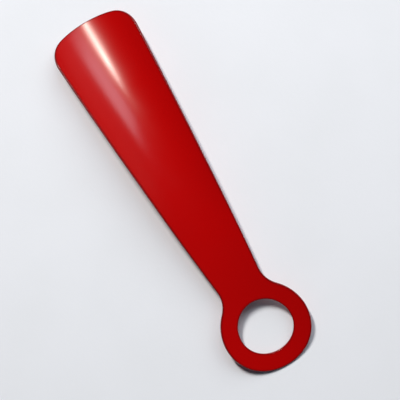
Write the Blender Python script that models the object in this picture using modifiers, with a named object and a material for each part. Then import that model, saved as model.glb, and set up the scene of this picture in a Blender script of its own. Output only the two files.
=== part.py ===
"""Short shoehorn pressed from one piece of painted steel sheet.

A flat blank is drawn, cut into a fine lattice, bent along and across, then
thickened and given soft edges. The blade is a trough that opens upwards and
grows shallower towards the neck, a slighter crosswise bend carries on through
the neck and the finger ring, and the whole profile is bowed, so that it lies
on the blade's lip and on the ring's tip. Metres, +X from the lip to the ring,
+Z up.
"""
import math

import bmesh
import bpy
import numpy as np

# Sheet
SHEET = 0.0012
EDGE_ROUND = 0.00032
EDGE_STEPS = 2

# Blank, measured flat along its centre line
LENGTH = 0.1822
BLADE_HALF_WIDTH = 0.02265
TAPER_END_HALF_WIDTH = 0.0084
SIDE_BULGE = 0.00054
LIP_RADIUS = 0.0320
CORNER_RADIUS = 0.0132
NECK_FILLET = 0.0122

# Finger ring
HOLE_RADIUS = 0.0127
RIM_WIDTH = 0.00815

# Bending; the rest is the share of the trough's curvature that the ring keeps
TROUGH_RADIUS = 0.0340
TROUGH_REST = 0.57
TROUGH_FADE = 0.0440
EVEN_NECK = 0.0187
BOW_TURN = math.radians(23.5)

# Fineness of the lattice and of the outline
STEP_ALONG = 0.0040
STEP_ACROSS = 0.0034
ARC_STEP = math.radians(7.5)
SIDE_POINTS = 30
SIDE_SAMPLES = 1600
BOW_SAMPLES = 2001
PARTING = 1e-7
WELD = 1e-6
CLOSE_POINTS = 0.0001
LEVELLING_ROUNDS = 4

# Shading
RIM_ANGLE = math.radians(50.0)
SHARP_ANGLE = math.radians(40.0)

RING_RADIUS = HOLE_RADIUS + RIM_WIDTH
RING_CENTRE = LENGTH - RING_RADIUS
RING_STARTS_AT = RING_CENTRE - RING_RADIUS
TROUGH_FADES_TO = RING_STARTS_AT - EVEN_NECK
TROUGH_KEEPS_TO = TROUGH_FADES_TO - TROUGH_FADE


def clear_scene():
    """Empty the scene."""
    for item in list(bpy.data.objects):
        bpy.data.objects.remove(item, do_unlink=True)


def new_collection(name):
    """Make a collection in the scene."""
    group = bpy.data.collections.new(name)
    bpy.context.scene.collection.children.link(group)
    return group


def red_paint():
    """Half-gloss red paint."""
    paint = bpy.data.materials.new("red_paint")
    paint.use_nodes = True
    shader = paint.node_tree.nodes["Principled BSDF"]
    shader.inputs["Base Color"].default_value = (0.50, 0.004, 0.005, 1.0)
    shader.inputs["Roughness"].default_value = 0.28
    shader.inputs["Metallic"].default_value = 0.0
    return paint


def arc(centre, radius, start, end):
    """Points of an arc from one angle to another, both ends included."""
    count = max(2, math.ceil(abs(end - start) / ARC_STEP))
    turn = np.linspace(start, end, count + 1)
    return [(centre[0] + radius * math.cos(a), centre[1] + radius * math.sin(a)) for a in turn]


def side_line():
    """Long edge on the +Y side, from the lip's level to the ring's centre.

    A straight taper with a shallow bulge that is deepest halfway. The edge's
    lean from the centre line comes with it.
    """
    x = np.linspace(0.0, RING_CENTRE, SIDE_SAMPLES)
    share = x / RING_CENTRE
    taper = BLADE_HALF_WIDTH + (TAPER_END_HALF_WIDTH - BLADE_HALF_WIDTH) * share
    y = taper + 4.0 * SIDE_BULGE * share * (1.0 - share)
    return x, y, np.arctan(np.gradient(y, x))


def rolled_in(centre_x, centre_y, target_x, reach):
    """Place on the lip's side of a circle where a fillet's centre is at a set reach."""
    miss = np.abs(np.hypot(centre_x - target_x, centre_y) - reach)
    return int(np.argmin(np.where(centre_x < target_x, miss, reach)))


def corner_arc():
    """Round corner tangent to the lip and to the long edge."""
    x, y, lean = side_line()
    centre_x = x + CORNER_RADIUS * np.sin(lean)
    centre_y = y - CORNER_RADIUS * np.cos(lean)
    pick = rolled_in(centre_x, centre_y, LIP_RADIUS, LIP_RADIUS - CORNER_RADIUS)
    centre = (centre_x[pick], centre_y[pick])
    on_lip = math.atan2(centre[1], centre[0] - LIP_RADIUS)
    on_side = math.pi / 2.0 + lean[pick]
    return arc(centre, CORNER_RADIUS, on_lip, on_side)


def neck_arc():
    """Hollow fillet between the long edge and the ring."""
    x, y, lean = side_line()
    centre_x = x - NECK_FILLET * np.sin(lean)
    centre_y = y + NECK_FILLET * np.cos(lean)
    pick = rolled_in(centre_x, centre_y, RING_CENTRE, RING_RADIUS + NECK_FILLET)
    centre = (centre_x[pick], centre_y[pick])
    on_side = -math.pi / 2.0 + lean[pick]
    to_ring = math.atan2(-centre[1], RING_CENTRE - centre[0])
    return arc(centre, NECK_FILLET, on_side, to_ring)


def half_outline():
    """Upper half of the blank's outline, from the lip's middle to the ring's tip."""
    corner = corner_arc()
    neck = neck_arc()
    lip_end = math.atan2(corner[0][1], corner[0][0] - LIP_RADIUS)
    points = arc((LIP_RADIUS, 0.0), LIP_RADIUS, math.pi, lip_end)[:-1]
    points += corner
    x, y, _ = side_line()
    along = np.linspace(corner[-1][0], neck[0][0], SIDE_POINTS)[1:-1]
    points += [(float(a), float(np.interp(a, x, y))) for a in along]
    points += neck
    join = math.atan2(neck[-1][1], neck[-1][0] - RING_CENTRE)
    points += arc((RING_CENTRE, 0.0), RING_RADIUS, join, 0.0)[1:]
    return points


def add_loop(curve, points):
    """Add a closed run of points to a flat curve."""
    spline = curve.splines.new("POLY")
    spline.points.add(len(points) - 1)
    for place, (x, y) in zip(spline.points, points):
        place.co = (x, y, 0.0, 1.0)
    spline.use_cyclic_u = True


def settled_mesh(item):
    """Mesh of an object as its curve or modifiers leave it."""
    bpy.context.view_layer.update()
    graph = bpy.context.evaluated_depsgraph_get()
    return bpy.data.meshes.new_from_object(item.evaluated_get(graph))


def flat_blank():
    """Flat blank with its hole, as a mesh without thickness."""
    upper = half_outline()
    lower = [(x, -y) for x, y in reversed(upper[1:-1])]
    hole = arc((RING_CENTRE, 0.0), HOLE_RADIUS, 0.0, 2.0 * math.pi)[:-1]
    curve = bpy.data.curves.new("blank_outline", "CURVE")
    curve.dimensions = "2D"
    curve.fill_mode = "BOTH"
    add_loop(curve, upper + lower)
    add_loop(curve, hole)
    holder = bpy.data.objects.new("blank_outline", curve)
    bpy.context.scene.collection.objects.link(holder)
    blank = settled_mesh(holder)
    bpy.data.objects.remove(holder, do_unlink=True)
    bpy.data.curves.remove(curve)
    return blank


def on_same_line(edge, stations, axis):
    """Whether an edge lies on one of the lattice's cutting lines."""
    first = edge.verts[0].co[axis]
    second = edge.verts[1].co[axis]
    if abs(first - second) > PARTING:
        return False
    return bool(np.min(np.abs(stations - first)) < PARTING)


def cut_lattice(mesh):
    """Cut the blank along and across, and keep only the cuts inside it."""
    work = bmesh.new()
    work.from_mesh(mesh)
    bmesh.ops.remove_doubles(work, verts=work.verts, dist=WELD)
    along = np.arange(STEP_ALONG, LENGTH - PARTING, STEP_ALONG)
    reach = STEP_ACROSS * (math.ceil(BLADE_HALF_WIDTH / STEP_ACROSS) - 0.5)
    across = np.arange(-reach, reach + PARTING, STEP_ACROSS)
    for axis, stations in ((0, along), (1, across)):
        normal = (1.0, 0.0, 0.0) if axis == 0 else (0.0, 1.0, 0.0)
        for place in stations:
            origin = tuple(place * part for part in normal)
            parts = work.verts[:] + work.edges[:] + work.faces[:]
            bmesh.ops.bisect_plane(work, geom=parts, dist=PARTING, plane_co=origin, plane_no=normal)
    spare = []
    for edge in work.edges:
        if edge.is_boundary:
            continue
        if not on_same_line(edge, along, 0) and not on_same_line(edge, across, 1):
            spare.append(edge)
    bmesh.ops.dissolve_edges(work, edges=spare, use_verts=False)
    bare = [vert for vert in work.verts if len(vert.link_edges) == 2 and not vert.is_boundary]
    bmesh.ops.dissolve_verts(work, verts=bare)
    bmesh.ops.remove_doubles(work, verts=work.verts, dist=CLOSE_POINTS)
    bmesh.ops.recalc_face_normals(work, faces=work.faces)
    work.to_mesh(mesh)
    work.free()


def coordinates(mesh):
    """Vertex coordinates of a mesh as rows of x, y, z."""
    values = np.empty(len(mesh.vertices) * 3)
    mesh.vertices.foreach_get("co", values)
    return values.reshape(-1, 3)


def trough_curvature(x):
    """Crosswise curvature of the sheet at a distance from the lip."""
    share = np.clip((x - TROUGH_KEEPS_TO) / (TROUGH_FADES_TO - TROUGH_KEEPS_TO), 0.0, 1.0)
    fade = share * share * (3.0 - 2.0 * share)
    return (1.0 - (1.0 - TROUGH_REST) * fade) / TROUGH_RADIUS


def bow_profile(x):
    """Height and slope of the centre line, even bend to the ring and straight after.

    The starting slope is the one that brings the ring's tip back to the lip's
    level.
    """
    bent = RING_STARTS_AT
    straight = LENGTH - bent
    start = BOW_TURN * (bent / 2.0 + straight) / LENGTH
    grid = np.linspace(0.0, LENGTH, BOW_SAMPLES)
    slope = start - BOW_TURN * np.clip(grid / bent, 0.0, 1.0)
    step = grid[1] - grid[0]
    run = np.concatenate(([0.0], np.cumsum((np.cos(slope[1:]) + np.cos(slope[:-1])) * step / 2.0)))
    rise = np.concatenate(([0.0], np.cumsum((np.sin(slope[1:]) + np.sin(slope[:-1])) * step / 2.0)))
    return np.interp(x, grid, run), np.interp(x, grid, rise), np.interp(x, grid, slope)


def bend(mesh):
    """Press the flat lattice into the trough and the bow."""
    flat = coordinates(mesh)
    x, y = flat[:, 0], flat[:, 1]
    curvature = trough_curvature(x)
    turned = curvature * y
    side = np.sin(turned) / curvature
    lift = (1.0 - np.cos(turned)) / curvature
    run, rise, slope = bow_profile(x)
    bent = np.stack([run - lift * np.sin(slope), side, rise + lift * np.cos(slope)], axis=1)
    mesh.vertices.foreach_set("co", bent.ravel())
    mesh.update()


def thicken(item):
    """Give the sheet its thickness and soft painted edges."""
    shell = item.modifiers.new("sheet", "SOLIDIFY")
    shell.thickness = SHEET
    shell.offset = 0.0
    shell.use_even_offset = True
    shell.use_rim = True
    soften = item.modifiers.new("edges", "BEVEL")
    soften.width = EDGE_ROUND
    soften.segments = EDGE_STEPS
    soften.limit_method = "ANGLE"
    soften.angle_limit = RIM_ANGLE
    soften.use_clamp_overlap = True
    solid = settled_mesh(item)
    item.modifiers.clear()
    spare = item.data
    item.data = solid
    bpy.data.meshes.remove(spare)


def lay_down(mesh):
    """Turn and drop the solid so that the lip and the ring's tip share the floor."""
    points = coordinates(mesh)
    for _ in range(LEVELLING_ROUNDS):
        middle = (points[:, 0].min() + points[:, 0].max()) / 2.0
        front = points[points[:, 0] < middle]
        back = points[points[:, 0] >= middle]
        low_front = front[np.argmin(front[:, 2])]
        low_back = back[np.argmin(back[:, 2])]
        tilt = math.atan2(low_back[2] - low_front[2], low_back[0] - low_front[0])
        c, s = math.cos(-tilt), math.sin(-tilt)
        x, z = points[:, 0].copy(), points[:, 2].copy()
        points[:, 0] = c * x - s * z
        points[:, 2] = s * x + c * z
    points[:, 0] -= (points[:, 0].min() + points[:, 0].max()) / 2.0
    points[:, 2] -= points[:, 2].min()
    mesh.vertices.foreach_set("co", points.ravel())
    mesh.update()


def build_horn(group):
    """The pressed sheet: blade, neck and finger ring in one piece."""
    mesh = flat_blank()
    cut_lattice(mesh)
    bend(mesh)
    mesh.materials.clear()
    mesh.materials.append(red_paint())
    horn = bpy.data.objects.new("pressed_sheet", mesh)
    group.objects.link(horn)
    thicken(horn)
    lay_down(horn.data)
    horn.data.shade_smooth()
    horn.data.set_sharp_from_angle(angle=SHARP_ANGLE)
    return horn


def main():
    """Build the shoehorn."""
    clear_scene()
    group = new_collection("shoehorn")
    build_horn(group)


main()
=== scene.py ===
"""Short shoehorn with a finger ring, pressed from one sheet and enamelled red.

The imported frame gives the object's box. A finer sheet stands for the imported
solid: a flat blank is cut with rounded rims, one Geometry Nodes tree presses
it into its trough and bow, and it is laid down inside the box. Metres, +X from
the lip to the ring, +Z up.
"""
import logging
import math
from dataclasses import dataclass, field
from enum import Enum

import bpy
import numpy as np
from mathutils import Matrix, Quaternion, Vector
from mathutils.geometry import delaunay_2d_cdt


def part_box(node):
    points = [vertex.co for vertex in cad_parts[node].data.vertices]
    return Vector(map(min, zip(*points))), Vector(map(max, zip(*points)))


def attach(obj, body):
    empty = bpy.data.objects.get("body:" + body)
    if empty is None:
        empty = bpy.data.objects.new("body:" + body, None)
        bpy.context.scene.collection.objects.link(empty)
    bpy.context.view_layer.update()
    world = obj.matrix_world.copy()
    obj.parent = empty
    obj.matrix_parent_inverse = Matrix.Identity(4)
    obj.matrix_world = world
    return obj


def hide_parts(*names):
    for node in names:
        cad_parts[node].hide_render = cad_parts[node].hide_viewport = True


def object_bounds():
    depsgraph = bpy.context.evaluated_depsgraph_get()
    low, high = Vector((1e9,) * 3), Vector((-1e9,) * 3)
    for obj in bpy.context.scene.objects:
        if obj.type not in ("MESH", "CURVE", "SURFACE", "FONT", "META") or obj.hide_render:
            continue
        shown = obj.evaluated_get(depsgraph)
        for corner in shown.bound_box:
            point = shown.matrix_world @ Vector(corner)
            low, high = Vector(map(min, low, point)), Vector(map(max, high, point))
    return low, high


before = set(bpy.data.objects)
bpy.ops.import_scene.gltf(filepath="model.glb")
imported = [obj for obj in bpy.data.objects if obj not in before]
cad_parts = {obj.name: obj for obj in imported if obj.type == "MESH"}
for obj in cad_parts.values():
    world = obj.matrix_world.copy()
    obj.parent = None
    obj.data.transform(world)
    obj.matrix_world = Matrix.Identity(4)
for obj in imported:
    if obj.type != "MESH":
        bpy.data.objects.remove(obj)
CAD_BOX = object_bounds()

LOG = logging.getLogger("shoehorn")
BODY = "root"
NODE = "pressed_sheet"
# mark of the rounded edges, where the enamel gets its painted shade
RIM_LAYER = "rim"
GRAIN_ROUGHNESS = 0.45
DUST_SLOPES = (0.3, 0.8)  # upward share of the normal where dust starts to lie, and where it lies fully
DRIFT_RANGE = (0.3, 0.7)  # part of the slow drift that a finish's tone and roughness follow

Colour = tuple[float, float, float, float]
Feed = float | tuple[float, ...] | bpy.types.NodeSocket


class Coordinates(Enum):
    """Which coordinates a pattern follows."""

    OBJECT = "Object"


class Tree:
    """Adds and joins nodes in one node tree."""

    def __init__(self, tree: bpy.types.NodeTree) -> None:
        """Keep the tree that the nodes go into."""
        self.tree = tree

    def add(self, kind: str, **settings: object) -> bpy.types.Node:
        """Add a node and set its options.

        Args:
            kind: The node's type name.
            settings: The node's own options by name.

        Returns:
            The new node.
        """
        node = self.tree.nodes.new(kind)
        for name, value in settings.items():
            setattr(node, name, value)
        return node

    def feed(self, socket: bpy.types.NodeSocket, value: Feed) -> None:
        """Join a socket to another one, or set its value.

        Args:
            socket: The input that is fed.
            value: A number, a colour, a vector, or another node's output.
        """
        if isinstance(value, bpy.types.NodeSocket):
            self.tree.links.new(value, socket)
        else:
            socket.default_value = value

    def maths(self, operation: str, *values: Feed) -> bpy.types.NodeSocket:
        """Add a sum on single numbers.

        Args:
            operation: The Math node's operation.
            values: Its inputs, in order.

        Returns:
            The result's socket.
        """
        node = self.add("ShaderNodeMath", operation=operation)
        for socket, value in zip(node.inputs, values):
            self.feed(socket, value)
        return node.outputs[0]

    def ramp(self, value: Feed, low: Feed, high: Feed, at_low: Feed, at_high: Feed) -> bpy.types.NodeSocket:
        """Map a range of numbers smoothly onto another.

        Args:
            value: The number that is mapped.
            low: Start of the range.
            high: End of the range.
            at_low: Result at the start and before it.
            at_high: Result at the end and after it.

        Returns:
            The result's socket.
        """
        node = self.add("ShaderNodeMapRange", interpolation_type="SMOOTHSTEP")
        names = ("Value", "From Min", "From Max", "To Min", "To Max")
        for name, number in zip(names, (value, low, high, at_low, at_high)):
            self.feed(node.inputs[name], number)
        return node.outputs["Result"]


def new_group(
    name: str, kind: str, inputs: dict[str, tuple[str, object]], outputs: dict[str, str]
) -> tuple[Tree, bpy.types.Node, bpy.types.Node]:
    """Start a node tree with named sockets.

    Args:
        name: The tree's name.
        kind: Its type, for shaders or for geometry.
        inputs: Socket type and starting value of each input.
        outputs: Socket type of each output.

    Returns:
        The tree, its input node and its output node.
    """
    tree = bpy.data.node_groups.new(name, kind)
    for label, (socket_type, start) in inputs.items():
        socket = tree.interface.new_socket(name=label, in_out="INPUT", socket_type=socket_type)
        if start is not None:
            socket.default_value = start
    for label, socket_type in outputs.items():
        tree.interface.new_socket(name=label, in_out="OUTPUT", socket_type=socket_type)
    made = Tree(tree)
    return made, made.add("NodeGroupInput"), made.add("NodeGroupOutput")


# ---------------------------------------------------------------- effects that both finishes share


def grain_group() -> bpy.types.NodeTree:
    """Two sizes of soft grain: a height for bumps and a slow drift for colour.

    Returns:
        The group, with the outputs Height and Drift between 0 and 1.
    """
    tree, start, end = new_group(
        "soft_grain",
        "ShaderNodeTree",
        {
            "Vector": ("NodeSocketVector", None),
            "Fine Scale": ("NodeSocketFloat", 900.0),
            "Coarse Scale": ("NodeSocketFloat", 120.0),
            "Coarse Share": ("NodeSocketFloat", 0.5),
            "Drift Scale": ("NodeSocketFloat", 18.0),
        },
        {"Height": "NodeSocketFloat", "Drift": "NodeSocketFloat"},
    )
    sizes = {}
    for label, detail in (("Fine Scale", 1.0), ("Coarse Scale", 2.0), ("Drift Scale", 3.0)):
        noise = tree.add("ShaderNodeTexNoise")
        tree.feed(noise.inputs["Vector"], start.outputs["Vector"])
        tree.feed(noise.inputs["Scale"], start.outputs[label])
        tree.feed(noise.inputs["Detail"], detail)
        tree.feed(noise.inputs["Roughness"], GRAIN_ROUGHNESS)
        sizes[label] = noise.outputs[0]
    mix = tree.add("ShaderNodeMix", data_type="FLOAT")
    tree.feed(mix.inputs[0], start.outputs["Coarse Share"])
    tree.feed(mix.inputs[2], sizes["Fine Scale"])
    tree.feed(mix.inputs[3], sizes["Coarse Scale"])
    tree.feed(end.inputs["Height"], mix.outputs[0])
    tree.feed(end.inputs["Drift"], sizes["Drift Scale"])
    return tree.tree


def dust_group() -> bpy.types.NodeTree:
    """Sparse specks of dust that have settled on what faces up.

    Returns:
        The group, with the output Dust, 1 on a speck.
    """
    tree, start, end = new_group(
        "settled_dust",
        "ShaderNodeTree",
        {
            "Vector": ("NodeSocketVector", None),
            "Scale": ("NodeSocketFloat", 260.0),
            "Speck Size": ("NodeSocketFloat", 0.10),
            "Amount": ("NodeSocketFloat", 0.1),
        },
        {"Dust": "NodeSocketFloat"},
    )
    cells = tree.add("ShaderNodeTexVoronoi", feature="F1")
    tree.feed(cells.inputs["Vector"], start.outputs["Vector"])
    tree.feed(cells.inputs["Scale"], start.outputs["Scale"])
    core = tree.maths("LESS_THAN", cells.outputs["Distance"], start.outputs["Speck Size"])
    lot = tree.add("ShaderNodeSeparateColor")
    tree.feed(lot.inputs[0], cells.outputs["Color"])
    chosen = tree.maths("LESS_THAN", lot.outputs[0], start.outputs["Amount"])
    facing = tree.add("ShaderNodeNewGeometry")
    split = tree.add("ShaderNodeSeparateXYZ")
    tree.feed(split.inputs[0], facing.outputs["Normal"])
    up = tree.ramp(split.outputs["Z"], *DUST_SLOPES, 0.0, 1.0)
    speck = tree.maths("MULTIPLY", tree.maths("MULTIPLY", core, chosen), up)
    tree.feed(end.inputs["Dust"], speck)
    return tree.tree


@dataclass(frozen=True)
class Effects:
    """The shader groups that the finishes share."""

    grain: bpy.types.NodeTree
    dust: bpy.types.NodeTree


# ---------------------------------------------------------------- finishes


def start_material(name: str) -> tuple[bpy.types.Material, Tree, bpy.types.Node, bpy.types.NodeSocket]:
    """Start a material with its shader and its object coordinates.

    Args:
        name: The material's name.

    Returns:
        The material, its tree, its Principled shader and the coordinates' socket.
    """
    material = bpy.data.materials.new(name)
    material.use_nodes = True
    tree = Tree(material.node_tree)
    shader = material.node_tree.nodes["Principled BSDF"]
    place = tree.add("ShaderNodeTexCoord")
    return material, tree, shader, place.outputs[Coordinates.OBJECT.value]


def use_group(tree: Tree, group: bpy.types.NodeTree, **values: Feed) -> bpy.types.Node:
    """Place a shared group in a material with its own values.

    Args:
        tree: The material's tree.
        group: The shared group.
        values: Values by input name, with underscores for spaces.

    Returns:
        The group's node.
    """
    node = tree.add("ShaderNodeGroup", node_tree=group)
    for name, value in values.items():
        tree.feed(node.inputs[name.replace("_", " ")], value)
    return node


def blend(tree: Tree, share: Feed, first: Feed, second: Feed) -> bpy.types.NodeSocket:
    """Mix two colours.

    Args:
        tree: The tree that the mix goes into.
        share: How much of the second colour there is.
        first: First colour.
        second: Second colour.

    Returns:
        The mixed colour's socket.
    """
    node = tree.add("ShaderNodeMix", data_type="RGBA")
    tree.feed(node.inputs[0], share)
    tree.feed(node.inputs[6], first)
    tree.feed(node.inputs[7], second)
    return node.outputs[2]


@dataclass(frozen=True)
class Enamel:
    """Half-gloss red enamel, with painted shade darkening the sheet's rounded edges."""

    name: str = "red_enamel"
    body: Colour = (0.430, 0.0007, 0.0008, 1.0)
    deep: Colour = (0.415, 0.0005, 0.0006, 1.0)
    # painted shade: the dark red laid over the rounded edges, where their faces fall into shade
    edge: Colour = (0.090, 0.0008, 0.0015, 1.0)
    edge_shade_share: float = 0.72
    edge_shade_strength: tuple[float, float] = (0.8, 1.0)
    edge_shade_drift: tuple[float, float] = (0.35, 0.65)
    dust: Colour = (0.62, 0.60, 0.58, 1.0)
    dust_share: float = 0.08
    dust_dulling: float = 0.3
    roughness: float = 0.215
    roughness_drift: float = 0.03
    specular: float = 0.5
    peel: float = 0.0000008

    def make(self, effects: Effects) -> bpy.types.Material:
        """Build the material.

        Args:
            effects: The shared shader groups.

        Returns:
            The enamel.
        """
        material, tree, shader, place = start_material(self.name)
        grain = use_group(
            tree, effects.grain, Vector=place,
            Fine_Scale=1500.0, Coarse_Scale=420.0, Coarse_Share=0.6, Drift_Scale=30.0,
        )
        dust = use_group(tree, effects.dust, Vector=place, Scale=230.0, Speck_Size=0.04, Amount=0.008)
        drift, speck = grain.outputs["Drift"], dust.outputs["Dust"]
        # painted shade: darkens the rounded edges by their rim mark, a little unevenly with the drift
        rim = tree.add("ShaderNodeAttribute", attribute_name=RIM_LAYER)
        uneven = tree.ramp(drift, *self.edge_shade_drift, *self.edge_shade_strength)
        shaded = tree.maths("MULTIPLY", rim.outputs["Fac"], uneven)
        paint = blend(tree, tree.ramp(drift, *DRIFT_RANGE, 0.0, 1.0), self.body, self.deep)
        paint = blend(tree, tree.maths("MULTIPLY", shaded, self.edge_shade_share), paint, self.edge)
        paint = blend(tree, tree.maths("MULTIPLY", speck, self.dust_share), paint, self.dust)
        tree.feed(shader.inputs["Base Color"], paint)
        low, high = self.roughness - self.roughness_drift, self.roughness + self.roughness_drift
        dulled = tree.maths("MULTIPLY", speck, self.dust_dulling)
        dulled = tree.maths("ADD", tree.ramp(drift, *DRIFT_RANGE, low, high), dulled)
        tree.feed(shader.inputs["Roughness"], dulled)
        shader.inputs["Specular IOR Level"].default_value = self.specular
        bump = tree.add("ShaderNodeBump")
        tree.feed(bump.inputs["Height"], grain.outputs["Height"])
        bump.inputs["Strength"].default_value = 1.0
        bump.inputs["Distance"].default_value = self.peel
        tree.feed(shader.inputs["Normal"], bump.outputs["Normal"])
        return material


@dataclass(frozen=True)
class PaleTop:
    """Matt pale table top."""

    name: str = "pale_top"
    light: Colour = (0.78, 0.82, 0.905, 1.0)
    shade: Colour = (0.76, 0.80, 0.88, 1.0)
    dust: Colour = (0.60, 0.60, 0.60, 1.0)
    dust_share: float = 0.2
    roughness: float = 0.6
    roughness_drift: float = 0.05
    specular: float = 0.25
    grain_strength: float = 0.6
    grain_height: float = 0.00006

    def make(self, effects: Effects) -> bpy.types.Material:
        """Build the material.

        Args:
            effects: The shared shader groups.

        Returns:
            The table top's finish.
        """
        material, tree, shader, place = start_material(self.name)
        grain = use_group(
            tree, effects.grain, Vector=place,
            Fine_Scale=700.0, Coarse_Scale=160.0, Coarse_Share=0.4, Drift_Scale=22.0,
        )
        dust = use_group(tree, effects.dust, Vector=place, Scale=90.0, Speck_Size=0.03, Amount=0.05)
        drift = grain.outputs["Drift"]
        tone = blend(tree, tree.ramp(drift, *DRIFT_RANGE, 0.0, 1.0), self.light, self.shade)
        tone = blend(tree, tree.maths("MULTIPLY", dust.outputs["Dust"], self.dust_share), tone, self.dust)
        tree.feed(shader.inputs["Base Color"], tone)
        low, high = self.roughness - self.roughness_drift, self.roughness + self.roughness_drift
        tree.feed(shader.inputs["Roughness"], tree.ramp(drift, *DRIFT_RANGE, low, high))
        shader.inputs["Specular IOR Level"].default_value = self.specular
        bump = tree.add("ShaderNodeBump")
        tree.feed(bump.inputs["Height"], grain.outputs["Height"])
        bump.inputs["Strength"].default_value = self.grain_strength
        bump.inputs["Distance"].default_value = self.grain_height
        tree.feed(shader.inputs["Normal"], bump.outputs["Normal"])
        return material


# ---------------------------------------------------------------- the flat blank


@dataclass(frozen=True)
class Blank:
    """Outline of the flat blank, measured along its centre line from the lip."""

    length: float = 0.1822
    blade_half_width: float = 0.02265
    taper_end_half_width: float = 0.0084
    side_bulge: float = 0.00054
    lip_radius: float = 0.0320
    corner_radius: float = 0.0132
    neck_fillet: float = 0.0122
    hole_radius: float = 0.0127
    rim_width: float = 0.00815
    side_samples: int = 6000
    fine: float = 0.00005
    step: float = 0.0008
    same: float = 1e-9

    @property
    def ring_radius(self) -> float:
        """Outer radius of the finger ring."""
        return self.hole_radius + self.rim_width

    @property
    def ring_centre(self) -> float:
        """Distance from the lip to the ring's centre."""
        return self.length - self.ring_radius

    def side(self) -> tuple[np.ndarray, np.ndarray, np.ndarray]:
        """Long edge on the +Y side.

        Returns:
            Distances from the lip, half widths, and the edge's lean.
        """
        x = np.linspace(0.0, self.ring_centre, self.side_samples)
        share = x / self.ring_centre
        y = self.blade_half_width + (self.taper_end_half_width - self.blade_half_width) * share
        y = y + 4.0 * self.side_bulge * share * (1.0 - share)
        return x, y, np.arctan(np.gradient(y, x))

    def arc(self, centre: tuple[float, float], radius: float, start: float, end: float) -> np.ndarray:
        """Fine points of an arc.

        Args:
            centre: Its centre.
            radius: Its radius.
            start: First angle.
            end: Last angle.

        Returns:
            Rows of x and y, both ends included.
        """
        count = max(2, math.ceil(abs(end - start) * radius / self.fine))
        turn = np.linspace(start, end, count + 1)
        return np.stack([centre[0] + radius * np.cos(turn), centre[1] + radius * np.sin(turn)], axis=1)

    def rolled(self, shift: float, target: float, reach: float) -> tuple[tuple[float, float], float]:
        """Centre of a round that touches the long edge and a circle.

        Args:
            shift: Signed radius of the round, positive on the inside of the edge.
            target: Place of the circle's centre on the centre line.
            reach: Distance between the two centres.

        Returns:
            The round's centre and the edge's lean where it touches.
        """
        x, y, lean = self.side()
        cx, cy = x + shift * np.sin(lean), y - shift * np.cos(lean)
        miss = np.abs(np.hypot(cx - target, cy) - reach)
        pick = int(np.argmin(np.where(cx < target, miss, reach)))
        return (float(cx[pick]), float(cy[pick])), float(lean[pick])

    def half(self) -> np.ndarray:
        """Fine points of the +Y half, from the lip's middle to the ring's tip.

        Returns:
            Rows of x and y.
        """
        corner, lean = self.rolled(self.corner_radius, self.lip_radius, self.lip_radius - self.corner_radius)
        on_lip = math.atan2(corner[1], corner[0] - self.lip_radius)
        round_corner = self.arc(corner, self.corner_radius, on_lip, math.pi / 2.0 + lean)
        lip = self.arc((self.lip_radius, 0.0), self.lip_radius, math.pi, on_lip)
        hollow, lean = self.rolled(-self.neck_fillet, self.ring_centre, self.ring_radius + self.neck_fillet)
        to_ring = math.atan2(-hollow[1], self.ring_centre - hollow[0])
        neck = self.arc(hollow, self.neck_fillet, -math.pi / 2.0 + lean, to_ring)
        join = math.atan2(neck[-1, 1], neck[-1, 0] - self.ring_centre)
        ring = self.arc((self.ring_centre, 0.0), self.ring_radius, join, 0.0)
        x, y, _ = self.side()
        keep = (x > round_corner[-1, 0]) & (x < neck[0, 0])
        edge = np.stack([x[keep], y[keep]], axis=1)
        return np.concatenate([lip[:-1], round_corner, edge, neck, ring[1:]])

    def outline(self) -> tuple[np.ndarray, np.ndarray]:
        """Even points round the blank, anticlockwise, with outward normals.

        Returns:
            Rows of x and y, and rows of unit normals.
        """
        fine = self.half()
        steps = np.hypot(*np.diff(fine, axis=0).T)
        keep = np.concatenate([[True], steps > self.same])
        fine = fine[keep]
        run = np.concatenate([[0.0], np.cumsum(np.hypot(*np.diff(fine, axis=0).T))])
        count = round(run[-1] / self.step)
        stops = np.linspace(0.0, run[-1], count + 1)
        half = np.stack([np.interp(stops, run, fine[:, axis]) for axis in (0, 1)], axis=1)
        nudge = self.step * 0.25
        before = np.stack([np.interp(stops - nudge, run, fine[:, axis]) for axis in (0, 1)], axis=1)
        after = np.stack([np.interp(stops + nudge, run, fine[:, axis]) for axis in (0, 1)], axis=1)
        tangent = after - before
        tangent[0] = (0.0, 1.0)
        tangent[-1] = (0.0, -1.0)
        tangent /= np.hypot(*tangent.T)[:, None]
        normal = np.stack([-tangent[:, 1], tangent[:, 0]], axis=1)
        half[0, 1] = half[-1, 1] = 0.0
        lower, lower_normal = half[1:-1] * (1.0, -1.0), normal[1:-1] * (1.0, -1.0)
        points = np.concatenate([half[::-1], lower])
        normals = np.concatenate([normal[::-1], lower_normal])
        return points, normals

    def hole(self) -> tuple[np.ndarray, np.ndarray]:
        """Even points round the finger hole, clockwise, with normals into the hole.

        Returns:
            Rows of x and y, and rows of unit normals.
        """
        count = round(2.0 * math.pi * self.hole_radius / self.step)
        turn = -np.arange(count) * 2.0 * math.pi / count
        ray = np.stack([np.cos(turn), np.sin(turn)], axis=1)
        return ray * self.hole_radius + (self.ring_centre, 0.0), -ray


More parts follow.
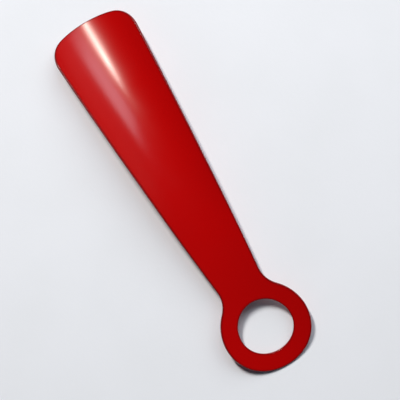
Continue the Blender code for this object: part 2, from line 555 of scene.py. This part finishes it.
@dataclass(frozen=True)
class Rim:
    """Section of the sheet's cut edge: two rounded arrises and a flat between.

    The apron holds the inset and the rim mark of each loop on the face beside the arris. The rim mark sets
    where the enamel gets painted shade.
    """

    sheet: float = 0.0012
    arris: float = 0.00034
    facets: int = 5
    apron: tuple[tuple[float, float], ...] = ((0.0012, 0.0), (0.0007, 0.25))

    def section(self) -> list[tuple[float, float, float]]:
        """Section from the top face, over the edge, to the bottom face.

        Returns:
            Inset from the outline, height over the sheet's middle, and rim mark.
        """
        half = self.sheet / 2.0
        upper = [(inset, half, mark) for inset, mark in self.apron]
        for step in range(self.facets + 1):
            turn = math.pi / 2.0 * step / self.facets
            inset, drop = self.arris * (1.0 - math.sin(turn)), self.arris * (1.0 - math.cos(turn))
            upper.append((inset, half - drop, 1.0))
        lower = [(inset, -height, mark) for inset, height, mark in reversed(upper)]
        return upper + lower


class BlankMesher:
    """Meshes the flat blank as a closed plate."""

    clearance: float = 0.62  # least gap between an inner point and a loop, as a share of the spacing
    tiny: float = 1e-12  # stands in for a height of nothing, so that it can be divided by
    merge: float = 1e-9  # points closer than this count as one

    def __init__(self, blank: Blank, rim: Rim, spacing: float) -> None:
        """Keep the outline, the rim's section and the faces' spacing."""
        self.blank, self.rim, self.spacing = blank, rim, spacing
        self.points: list[np.ndarray] = []
        self.marks: list[np.ndarray] = []
        self.faces: list[tuple[int, ...]] = []
        self.count = 0

    def put(self, points: np.ndarray, mark: float) -> np.ndarray:
        """Add points.

        Args:
            points: Rows of x, y and z.
            mark: Their rim mark.

        Returns:
            Their numbers.
        """
        self.points.append(points)
        self.marks.append(np.full(len(points), mark))
        self.count += len(points)
        return np.arange(self.count - len(points), self.count)

    def loops(self, outline: np.ndarray, normals: np.ndarray) -> tuple[np.ndarray, np.ndarray, np.ndarray]:
        """Run the rim's section round one edge.

        Args:
            outline: Rows of x and y.
            normals: Unit normals out of the sheet.

        Returns:
            Numbers of the top loop and of the bottom loop, and the loop's x and y.
        """
        rings = []
        for inset, height, mark in self.rim.section():
            flat = outline - normals * inset
            rings.append(self.put(np.column_stack([flat, np.full(len(flat), height)]), mark))
        for upper, lower in zip(rings[:-1], rings[1:]):
            for here in range(len(upper)):
                there = (here + 1) % len(upper)
                self.faces.append((int(upper[here]), int(lower[here]), int(lower[there]), int(upper[there])))
        return rings[0], rings[-1], outline - normals * self.rim.section()[0][0]

    def lattice(self, edges: list[np.ndarray]) -> np.ndarray:
        """Even inner points of the faces, clear of the rims' loops.

        Args:
            edges: The loops that bound the faces.

        Returns:
            Rows of x and y.
        """
        row = self.spacing * math.sqrt(3.0) / 2.0
        rows = int(self.blank.blade_half_width / row) + 1
        spots = []
        for level in range(-rows, rows + 1):
            shift = 0.5 * self.spacing if level % 2 else 0.0
            x = np.arange(shift, self.blank.length, self.spacing)
            spots.append(np.column_stack([x, np.full(len(x), level * row)]))
        grid = np.concatenate(spots)
        outer = edges[0]
        nxt = np.roll(outer, -1, axis=0)
        spans = (outer[None, :, 1] > grid[:, None, 1]) != (nxt[None, :, 1] > grid[:, None, 1])
        rise = nxt[:, 1] - outer[:, 1]
        rise = np.where(np.abs(rise) < self.tiny, self.tiny, rise)
        cross = outer[None, :, 0] + (grid[:, None, 1] - outer[None, :, 1]) / rise * (nxt[:, 0] - outer[:, 0])
        inside = (np.sum(spans & (grid[:, None, 0] < cross), axis=1) % 2) == 1
        for edge in edges:
            away = np.hypot(grid[:, None, 0] - edge[None, :, 0], grid[:, None, 1] - edge[None, :, 1])
            inside &= away.min(axis=1) > self.spacing * self.clearance
        hole = edges[1]
        middle = hole.mean(axis=0)
        inside &= np.hypot(*(grid - middle).T) > np.hypot(*(hole[0] - middle))
        return grid[inside]

    def mesh(self, name: str) -> bpy.types.Mesh:
        """Mesh the plate.

        Args:
            name: The mesh's name.

        Returns:
            A closed mesh with its rim marks.
        """
        outer_top, outer_bottom, outer_line = self.loops(*self.blank.outline())
        hole_top, hole_bottom, hole_line = self.loops(*self.blank.hole())
        inner = self.lattice([outer_line, hole_line])
        flat = np.concatenate([outer_line, hole_line, inner])
        first, second = len(outer_line), len(hole_line)
        ties = [(i, (i + 1) % first) for i in range(first)]
        ties += [(first + i, first + (i + 1) % second) for i in range(second)]
        spots, _, triangles, _, _, _ = delaunay_2d_cdt([Vector(p) for p in flat], ties, [], 1, self.merge)
        if len(spots) != len(flat):
            raise ValueError("the blank's points were merged")
        half = self.rim.sheet / 2.0
        for level, bounds in ((half, (outer_top, hole_top)), (-half, (outer_bottom, hole_bottom))):
            added = self.put(np.column_stack([inner, np.full(len(inner), level)]), 0.0)
            numbers = np.concatenate([*bounds, added])
            for corners in triangles:
                if all(first <= corner < first + second for corner in corners):
                    continue
                a, b, c = (flat[corner] for corner in corners)
                turn = (b[0] - a[0]) * (c[1] - a[1]) - (b[1] - a[1]) * (c[0] - a[0])
                order = corners if (turn > 0.0) == (level > 0.0) else corners[::-1]
                self.faces.append(tuple(int(numbers[corner]) for corner in order))
        made = bpy.data.meshes.new(name)
        made.from_pydata(np.concatenate(self.points).tolist(), [], self.faces)
        layer = made.attributes.new(RIM_LAYER, "FLOAT", "POINT")
        layer.data.foreach_set("value", np.concatenate(self.marks))
        made.update()
        return made


# ---------------------------------------------------------------- pressing


@dataclass(frozen=True)
class Press:
    """The rule that turns the flat blank into the trough and the bow."""

    trough_radius: float = 0.0340
    trough_rest: float = 0.57
    trough_fade: float = 0.0440
    even_neck: float = 0.0187
    bow_turn: float = math.radians(23.5)

    def tree(self) -> bpy.types.NodeTree:
        """Build the pressing tree.

        Returns:
            A Geometry Nodes tree with a named input for each size.
        """
        size = "NodeSocketFloat"
        tree, start, end = new_group(
            "press_sheet",
            "GeometryNodeTree",
            {
                "Geometry": ("NodeSocketGeometry", None),
                "Trough Radius": (size, self.trough_radius),
                "Trough Keeps To": (size, 0.07),
                "Trough Fades To": (size, 0.12),
                "Trough Rest": (size, self.trough_rest),
                "Bow Turn": (size, self.bow_turn),
                "Bent Length": (size, 0.14),
                "Full Length": (size, 0.18),
                "Finish": ("NodeSocketMaterial", None),
            },
            {"Geometry": "NodeSocketGeometry"},
        )
        given = start.outputs
        flat = tree.add("ShaderNodeSeparateXYZ")
        tree.feed(flat.inputs[0], tree.add("GeometryNodeInputPosition").outputs[0])
        x, y, z = flat.outputs
        rate = tree.maths("DIVIDE", given["Bow Turn"], given["Bent Length"])
        spare = tree.maths("SUBTRACT", given["Full Length"], given["Bent Length"])
        arm = tree.maths("ADD", tree.maths("MULTIPLY", given["Bent Length"], 0.5), spare)
        first = tree.maths("MULTIPLY", given["Bow Turn"], tree.maths("DIVIDE", arm, given["Full Length"]))
        bent = tree.maths("MINIMUM", x, given["Bent Length"])
        tail = tree.maths("MAXIMUM", tree.maths("SUBTRACT", x, given["Bent Length"]), 0.0)
        slope = tree.maths("SUBTRACT", first, tree.maths("MULTIPLY", rate, bent))
        sine, cosine = tree.maths("SINE", slope), tree.maths("COSINE", slope)
        run = tree.maths("DIVIDE", tree.maths("SUBTRACT", tree.maths("SINE", first), sine), rate)
        run = tree.maths("ADD", run, tree.maths("MULTIPLY", tail, cosine))
        rise = tree.maths("DIVIDE", tree.maths("SUBTRACT", cosine, tree.maths("COSINE", first)), rate)
        rise = tree.maths("ADD", rise, tree.maths("MULTIPLY", tail, sine))
        fade = tree.ramp(x, given["Trough Keeps To"], given["Trough Fades To"], 1.0, given["Trough Rest"])
        curve = tree.maths("DIVIDE", fade, given["Trough Radius"])
        turn = tree.maths("MULTIPLY", curve, y)
        lean = tree.maths("SINE", turn)
        side = tree.maths("DIVIDE", lean, curve)
        half_lean = tree.maths("SINE", tree.maths("MULTIPLY", turn, 0.5))
        square = tree.maths("MULTIPLY", half_lean, half_lean)
        lift = tree.maths("DIVIDE", tree.maths("MULTIPLY", square, 2.0), curve)
        across = tree.maths("SUBTRACT", side, tree.maths("MULTIPLY", z, lean))
        above = tree.maths("ADD", lift, tree.maths("MULTIPLY", z, tree.maths("COSINE", turn)))
        pressed = tree.add("ShaderNodeCombineXYZ")
        tree.feed(pressed.inputs[0], tree.maths("SUBTRACT", run, tree.maths("MULTIPLY", above, sine)))
        tree.feed(pressed.inputs[1], across)
        tree.feed(pressed.inputs[2], tree.maths("ADD", rise, tree.maths("MULTIPLY", above, cosine)))
        move = tree.add("GeometryNodeSetPosition")
        tree.feed(move.inputs["Geometry"], given["Geometry"])
        tree.feed(move.inputs["Position"], pressed.outputs[0])
        smooth = tree.add("GeometryNodeSetShadeSmooth")
        tree.feed(smooth.inputs["Geometry"], move.outputs[0])
        real = tree.add("GeometryNodeRealizeInstances")
        tree.feed(real.inputs["Geometry"], smooth.outputs[0])
        dress = tree.add("GeometryNodeSetMaterial")
        tree.feed(dress.inputs["Geometry"], real.outputs[0])
        tree.feed(dress.inputs["Material"], given["Finish"])
        tree.feed(end.inputs["Geometry"], dress.outputs[0])
        return tree.tree

    def apply(self, item: bpy.types.Object, blank: Blank, finish: bpy.types.Material) -> bpy.types.Mesh:
        """Press one object's mesh.

        Args:
            item: The object that holds the flat plate.
            blank: The blank's sizes.
            finish: The material that the sheet gets.

        Returns:
            The pressed mesh.
        """
        bent = blank.ring_centre - blank.ring_radius
        tree = self.tree()
        stage = item.modifiers.new("press", "NODES")
        stage.node_group = tree
        sizes = {
            "Trough Radius": self.trough_radius,
            "Trough Keeps To": bent - self.even_neck - self.trough_fade,
            "Trough Fades To": bent - self.even_neck,
            "Trough Rest": self.trough_rest,
            "Bow Turn": self.bow_turn,
            "Bent Length": bent,
            "Full Length": blank.length,
            "Finish": finish,
        }
        for socket in tree.interface.items_tree:
            if socket.in_out == "INPUT" and socket.name in sizes:
                stage[socket.identifier] = sizes[socket.name]
        bpy.context.view_layer.update()
        graph = bpy.context.evaluated_depsgraph_get()
        pressed = bpy.data.meshes.new_from_object(item.evaluated_get(graph))
        item.modifiers.remove(stage)
        return pressed


def rows(mesh: bpy.types.Mesh) -> np.ndarray:
    """Vertex places of a mesh as rows of x, y, z."""
    values = np.empty(len(mesh.vertices) * 3)
    mesh.vertices.foreach_get("co", values)
    return values.reshape(-1, 3)


@dataclass
class Shoehorn:
    """The pressed and enamelled sheet, in one piece."""

    name: str = "enamelled_sheet"
    blank: Blank = field(default_factory=Blank)
    rim: Rim = field(default_factory=Rim)
    press: Press = field(default_factory=Press)
    spacing: float = 0.0013
    levelling_rounds: int = 6

    def settle(self, mesh: bpy.types.Mesh) -> None:
        """Lay the sheet on the lip and the ring's tip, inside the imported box.

        Args:
            mesh: The pressed mesh, which is moved in place.
        """
        places = rows(mesh)
        for _ in range(self.levelling_rounds):
            middle = (places[:, 0].min() + places[:, 0].max()) / 2.0
            front, back = places[places[:, 0] < middle], places[places[:, 0] >= middle]
            low, high = front[np.argmin(front[:, 2])], back[np.argmin(back[:, 2])]
            tilt = math.atan2(high[2] - low[2], high[0] - low[0])
            c, s = math.cos(-tilt), math.sin(-tilt)
            x, z = places[:, 0].copy(), places[:, 2].copy()
            places[:, 0], places[:, 2] = c * x - s * z, s * x + c * z
        box_low, box_high = (np.array(corner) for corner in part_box(NODE))
        own_low, own_high = places.min(axis=0), places.max(axis=0)
        fit = np.minimum(1.0, (box_high - box_low) / (own_high - own_low))
        places = (places - (own_low + own_high) / 2.0) * fit
        places[:, :2] += (box_low + box_high)[:2] / 2.0
        places[:, 2] += box_low[2] - places[:, 2].min()
        mesh.vertices.foreach_set("co", places.ravel())
        mesh.update()

    def build(self, finish: bpy.types.Material) -> bpy.types.Object:
        """Cut, press and lay down the sheet.

        Args:
            finish: The sheet's finish.

        Returns:
            The finished piece.
        """
        plate = BlankMesher(self.blank, self.rim, self.spacing).mesh(self.name)
        item = bpy.data.objects.new(self.name, plate)
        bpy.context.scene.collection.objects.link(item)
        item.data = self.press.apply(item, self.blank, finish)
        item.data.name = self.name
        bpy.data.meshes.remove(plate)
        self.settle(item.data)
        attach(item, BODY)
        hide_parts(NODE)
        return item


# ---------------------------------------------------------------- studio


@dataclass(frozen=True)
class Lamp:
    """One soft lamp aimed at the shoehorn's middle, its size given across and then along."""

    name: str
    direction: tuple[float, float, float]
    distance: float
    size: tuple[float, float]
    power: float
    colour: tuple[float, float, float]
    round_face: bool = False
    mirrored: bool = True
    turn: float = 0.0

    def place(self) -> bpy.types.Object:
        """Put the lamp up.

        Returns:
            The lamp.
        """
        light = bpy.data.lights.new(self.name, "AREA")
        light.shape = "ELLIPSE" if self.round_face else "RECTANGLE"
        light.size, light.size_y = self.size
        light.energy = self.power
        light.color = self.colour
        item = bpy.data.objects.new(self.name, light)
        item.visible_glossy = self.mirrored
        ray = Vector(self.direction).normalized()
        item.location = ray * self.distance
        roll = Quaternion((0.0, 0.0, 1.0), math.radians(self.turn))
        item.rotation_euler = (ray.to_track_quat("Z", "Y") @ roll).to_euler()
        bpy.context.scene.collection.objects.link(item)
        return item


def slant(along: float, across: float) -> tuple[float, float, float]:
    """Direction to a lamp from its two slants off the vertical.

    Args:
        along: Slant towards +X in degrees.
        across: Slant towards +Y in degrees.

    Returns:
        A direction, not yet of unit length.
    """
    return math.tan(math.radians(along)), math.tan(math.radians(across)), 1.0


@dataclass
class Studio:
    """Pale table, soft lamps and the camera."""

    table_size: float = 1.8
    camera_place: tuple[float, float, float] = (0.00575, 0.00391, 0.455)
    camera_turn: float = math.radians(59.08)
    lens: float = 90.0
    sensor: float = 36.0
    room: tuple[float, float, float] = (0.03, 0.033, 0.04)
    reflected_room: tuple[float, float, float] = (0.012, 0.012, 0.014)
    backdrop: tuple[float, float, float] = (0.80, 0.82, 0.85)

    def lay_table(self, finish: bpy.types.Material) -> bpy.types.Object:
        """Lay the table top under the object.

        Args:
            finish: The table top's finish.

        Returns:
            The table top.
        """
        half = self.table_size / 2.0
        level = CAD_BOX[0].z
        mesh = bpy.data.meshes.new("table_top")
        corners = [(-half, -half, level), (half, -half, level), (half, half, level), (-half, half, level)]
        mesh.from_pydata(corners, [], [(0, 1, 2, 3)])
        mesh.materials.append(finish)
        item = bpy.data.objects.new("table_top", mesh)
        bpy.context.scene.collection.objects.link(item)
        return item

    def light_room(self) -> None:
        """Give the room its dim light, a darker reflection and the pale colour that shows behind."""
        world = bpy.data.worlds.new("room")
        world.use_nodes = True
        bpy.context.scene.world = world
        tree = Tree(world.node_tree)
        back = world.node_tree.nodes["Background"]
        ray = tree.add("ShaderNodeLightPath")
        colour = blend(tree, ray.outputs["Is Camera Ray"], (*self.room, 1.0), (*self.backdrop, 1.0))
        colour = blend(tree, ray.outputs["Is Glossy Ray"], colour, (*self.reflected_room, 1.0))
        tree.feed(back.inputs["Color"], colour)

    def hang_lamps(self) -> list[bpy.types.Object]:
        """Hang the two warm lamps, the cool window light and the bright wall.

        Returns:
            The lamps.
        """
        lamps = (
            Lamp(
                "warm_lamp", slant(-37.0, -1.2), 1.92, (0.072, 0.60), 19.0, (1.0, 0.93, 0.82), round_face=True
            ),
            Lamp("warm_fill", slant(-38.8, 2.4), 1.92, (0.12, 0.40), 14.0, (1.0, 0.96, 0.90), mirrored=False),
            Lamp("window_light", slant(-30.0, 18.2), 1.4, (0.36, 0.60), 2.95, (0.80, 0.90, 1.0), turn=10.0),
            Lamp("bright_wall", slant(-31.0, 45.0), 1.6, (1.2, 1.1), 9.5, (1.0, 0.98, 0.95), mirrored=False),
        )
        return [lamp.place() for lamp in lamps]

    def set_camera(self) -> bpy.types.Object:
        """Hold the camera straight above the object.

        Returns:
            The camera.
        """
        data = bpy.data.cameras.new("camera")
        data.lens, data.sensor_width = self.lens, self.sensor
        data.clip_start, data.clip_end = 0.01, 20.0
        item = bpy.data.objects.new("camera", data)
        item.location = self.camera_place
        item.rotation_euler = (0.0, 0.0, self.camera_turn)
        bpy.context.scene.collection.objects.link(item)
        bpy.context.scene.camera = item
        return item


def main() -> None:
    """Build the finishes, the shoehorn and the studio, and report each."""
    logging.basicConfig(level=logging.INFO, format="%(name)s: %(message)s")
    bpy.context.scene.view_settings.view_transform = "Standard"
    effects = Effects(grain_group(), dust_group())
    horn = Shoehorn().build(Enamel().make(effects))
    LOG.info("%s: %d faces, %d points", horn.name, len(horn.data.polygons), len(horn.data.vertices))
    studio = Studio()
    for piece in (studio.lay_table(PaleTop().make(effects)), *studio.hang_lamps(), studio.set_camera()):
        LOG.info("%s: placed", piece.name)
    studio.light_room()


if __name__ == "__main__":
    main()
